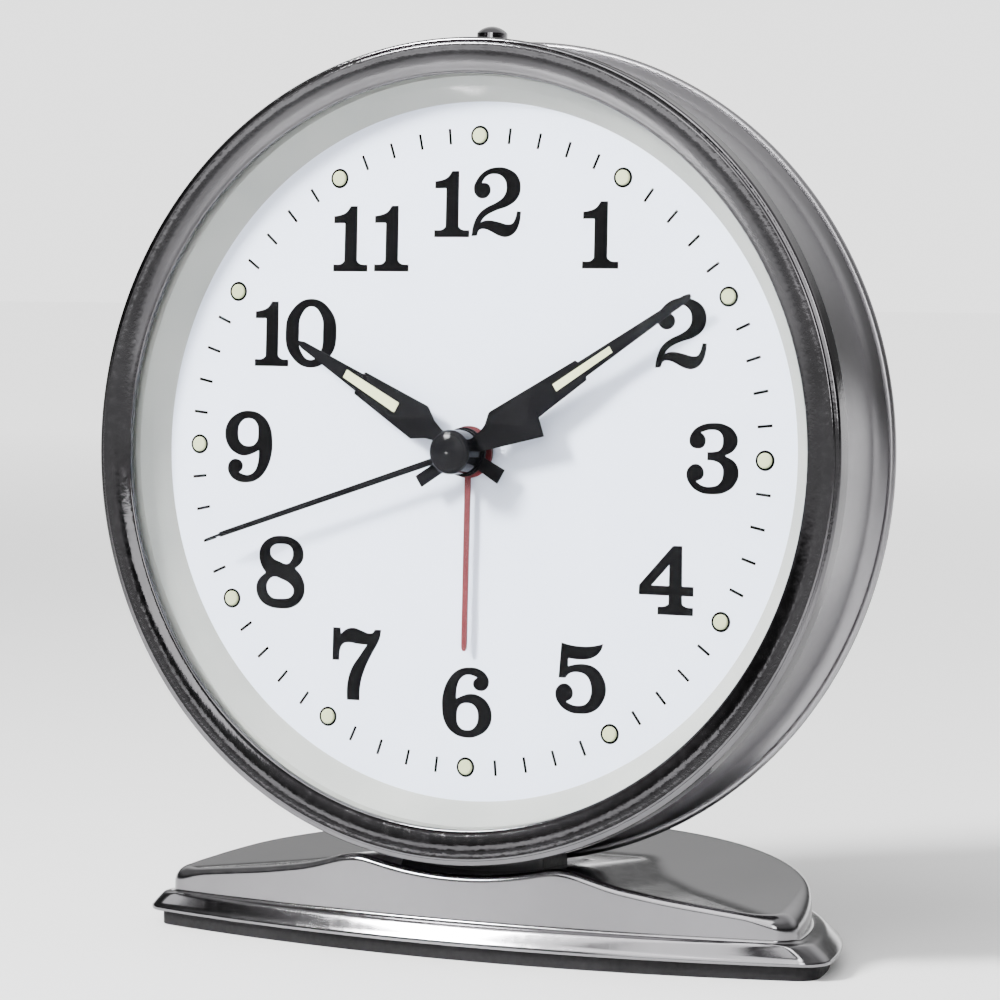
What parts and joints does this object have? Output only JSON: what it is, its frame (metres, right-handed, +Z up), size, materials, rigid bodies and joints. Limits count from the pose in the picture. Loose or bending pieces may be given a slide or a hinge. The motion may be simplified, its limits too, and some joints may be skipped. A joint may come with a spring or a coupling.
{
  "type": "alarm clock",
  "caption": "Round quartz alarm clock in a polished metal drum with a domed crystal, luminous hands and dots, a push button on top and a low weighted pedestal base.",
  "frame": {"origin": "underside of the base pad, straight below the centre of the dial", "axes": "+Z up, +Y towards the back of the clock, +X to the right of someone facing the dial; the dial faces -Y and leans back 3 degrees"},
  "size_m": [0.1056, 0.0542, 0.1176],
  "materials": {
    "polished_nickel": "polished, slightly hazy",
    "satin_nickel": "satin",
    "crystal_glass": "clear, polished",
    "dark_rubber": "matte",
    "ballast": "rough cast",
    "steel": "bright",
    "dial_white": "matte print",
    "ring_grey": "satin",
    "luminous_paint": "matte",
    "hand_black": "gloss",
    "cap_black": "gloss",
    "alarm_red": "satin",
    "cover_black": "fine texture",
    "control_black": "satin",
    "inner_black": "moulded",
    "wheel_white": "moulded",
    "magnet_ceramic": "matte",
    "stator_iron": "bare sheet",
    "copper_wire": "enamelled wire",
    "contact_metal": "sprung leaf",
    "board_green": "laminate",
    "chip_black": "moulded",
    "crystal_can": "drawn can",
    "cell_jacket": "satin sleeve"
  },
  "bodies": {
    "clock": {"front_bezel": "polished_nickel", "base_shell": "polished_nickel", "button_bush": "polished_nickel", "case_band": "satin_nickel", "crystal": "crystal_glass", "base_pad": "dark_rubber", "crystal_gasket": "dark_rubber", "base_weight": "ballast", "base_plate": "steel", "head_screws": "steel", "saddle_bracket": "steel", "cover_screws": "steel", "plate_screws": "steel", "button_spring": "steel", "switch_bracket": "steel", "dial": "dial_white", "reflector_ring": "ring_grey", "dial_dots": "luminous_paint", "rear_cover": "cover_black", "dial_shelf": "inner_black", "front_plate": "inner_black", "middle_plate": "inner_black", "movement_case": "inner_black", "board_posts": "inner_black", "light_switch": "inner_black", "coil_bobbin": "inner_black", "stator": "stator_iron", "coil_winding": "copper_wire", "battery_contact_plus": "contact_metal", "battery_contact_minus": "contact_metal", "sounder": "contact_metal", "circuit_board": "board_green", "timing_chip": "chip_black", "quartz_crystal": "crystal_can", "aa_battery": "cell_jacket"},
    "second": {"second_arbor": "steel", "second_hand": "hand_black", "second_hand_cap": "cap_black"},
    "first_wheel_body": {"first_wheel": "wheel_white"},
    "rotor": {"rotor_arbor": "wheel_white", "rotor_magnet": "magnet_ceramic"},
    "third_wheel_body": {"third_wheel": "wheel_white"},
    "centre_wheel_body": {"centre_wheel": "wheel_white"},
    "time_set": {"time_arbor": "wheel_white", "time_knob": "control_black"},
    "motion_wheel_body": {"motion_wheel": "wheel_white"},
    "minute": {"minute_tube": "wheel_white", "minute_hand": "hand_black", "minute_hand_lume": "luminous_paint"},
    "hour": {"hour_wheel": "wheel_white", "hour_hand": "hand_black", "hour_hand_lume": "luminous_paint"},
    "alarm_set": {"alarm_arbor": "wheel_white", "alarm_knob": "control_black"},
    "alarm_pointer": {"alarm_wheel": "wheel_white", "alarm_hand": "alarm_red"},
    "button": {"top_button": "polished_nickel"},
    "slider": {"alarm_slider": "control_black"},
    "door": {"battery_door": "cover_black"}
  },
  "joints": [
    {"name": "second_spin", "type": "hinge", "parent": "clock", "child": "second", "pos_m": [0, 0, 0.06385], "axis": [0, 0.9986, -0.0523], "continuous": true},
    {"name": "first_wheel_spin", "type": "hinge", "parent": "clock", "child": "first_wheel_body", "pos_m": [-0.0075, 0, 0.06385], "axis": [0, 0.9986, -0.0523], "continuous": true},
    {"name": "rotor_spin", "type": "hinge", "parent": "clock", "child": "rotor", "pos_m": [-0.01474, -0.00007, 0.06258], "axis": [0, 0.9986, -0.0523], "continuous": true},
    {"name": "third_wheel_spin", "type": "hinge", "parent": "clock", "child": "third_wheel_body", "pos_m": [0.01125, 0, 0.06385], "axis": [0, 0.9986, -0.0523], "continuous": true},
    {"name": "centre_wheel_spin", "type": "hinge", "parent": "clock", "child": "centre_wheel_body", "pos_m": [0, 0, 0.06385], "axis": [0, 0.9986, -0.0523], "continuous": true},
    {"name": "time_knob_turn", "type": "hinge", "parent": "clock", "child": "time_set", "pos_m": [-0.01349, 0.00057, 0.07476], "axis": [0, 0.9986, -0.0523], "continuous": true},
    {"name": "motion_wheel_spin", "type": "hinge", "parent": "clock", "child": "motion_wheel_body", "pos_m": [-0.00825, 0.00019, 0.06745], "axis": [0, 0.9986, -0.0523], "continuous": true},
    {"name": "minute_spin", "type": "hinge", "parent": "clock", "child": "minute", "pos_m": [0, 0, 0.06385], "axis": [0, 0.9986, -0.0523], "continuous": true},
    {"name": "hour_spin", "type": "hinge", "parent": "clock", "child": "hour", "pos_m": [0, 0, 0.06385], "axis": [0, 0.9986, -0.0523], "continuous": true},
    {"name": "alarm_knob_turn", "type": "hinge", "parent": "clock", "child": "alarm_set", "pos_m": [0.00576, 0.00052, 0.07381], "axis": [0, 0.9986, -0.0523], "continuous": true},
    {"name": "alarm_hand_spin", "type": "hinge", "parent": "clock", "child": "alarm_pointer", "pos_m": [0, 0, 0.06385], "axis": [0, 0.9986, -0.0523], "continuous": true},
    {"name": "button_press", "type": "slide", "parent": "clock", "child": "button", "axis": [0, -0.0523, -0.9986], "range_m": [0, 0.001], "stiffness_N_per_m": 300, "springref_m": -0.001, "deforming": ["button_spring"]},
    {"name": "slider_slide", "type": "slide", "parent": "clock", "child": "slider", "axis": [1, 0, 0], "range_m": [0, 0.0042]},
    {"name": "door_pull", "type": "slide", "parent": "clock", "child": "door", "axis": [0, 0.9986, -0.0523], "range_m": [0, 0.008]}
  ],
  "couplings": [
    {"joint": "first_wheel_spin", "follows": "second_spin", "ratio": -5},
    {"joint": "rotor_spin", "follows": "second_spin", "ratio": 30},
    {"joint": "third_wheel_spin", "follows": "second_spin", "ratio": -0.13333},
    {"joint": "centre_wheel_spin", "follows": "second_spin", "ratio": 0.016667},
    {"joint": "motion_wheel_spin", "follows": "time_knob_turn", "ratio": -0.33333},
    {"joint": "minute_spin", "follows": "time_knob_turn", "ratio": 1},
    {"joint": "hour_spin", "follows": "time_knob_turn", "ratio": 0.083333},
    {"joint": "alarm_hand_spin", "follows": "alarm_knob_turn", "ratio": -0.5}
  ]
}
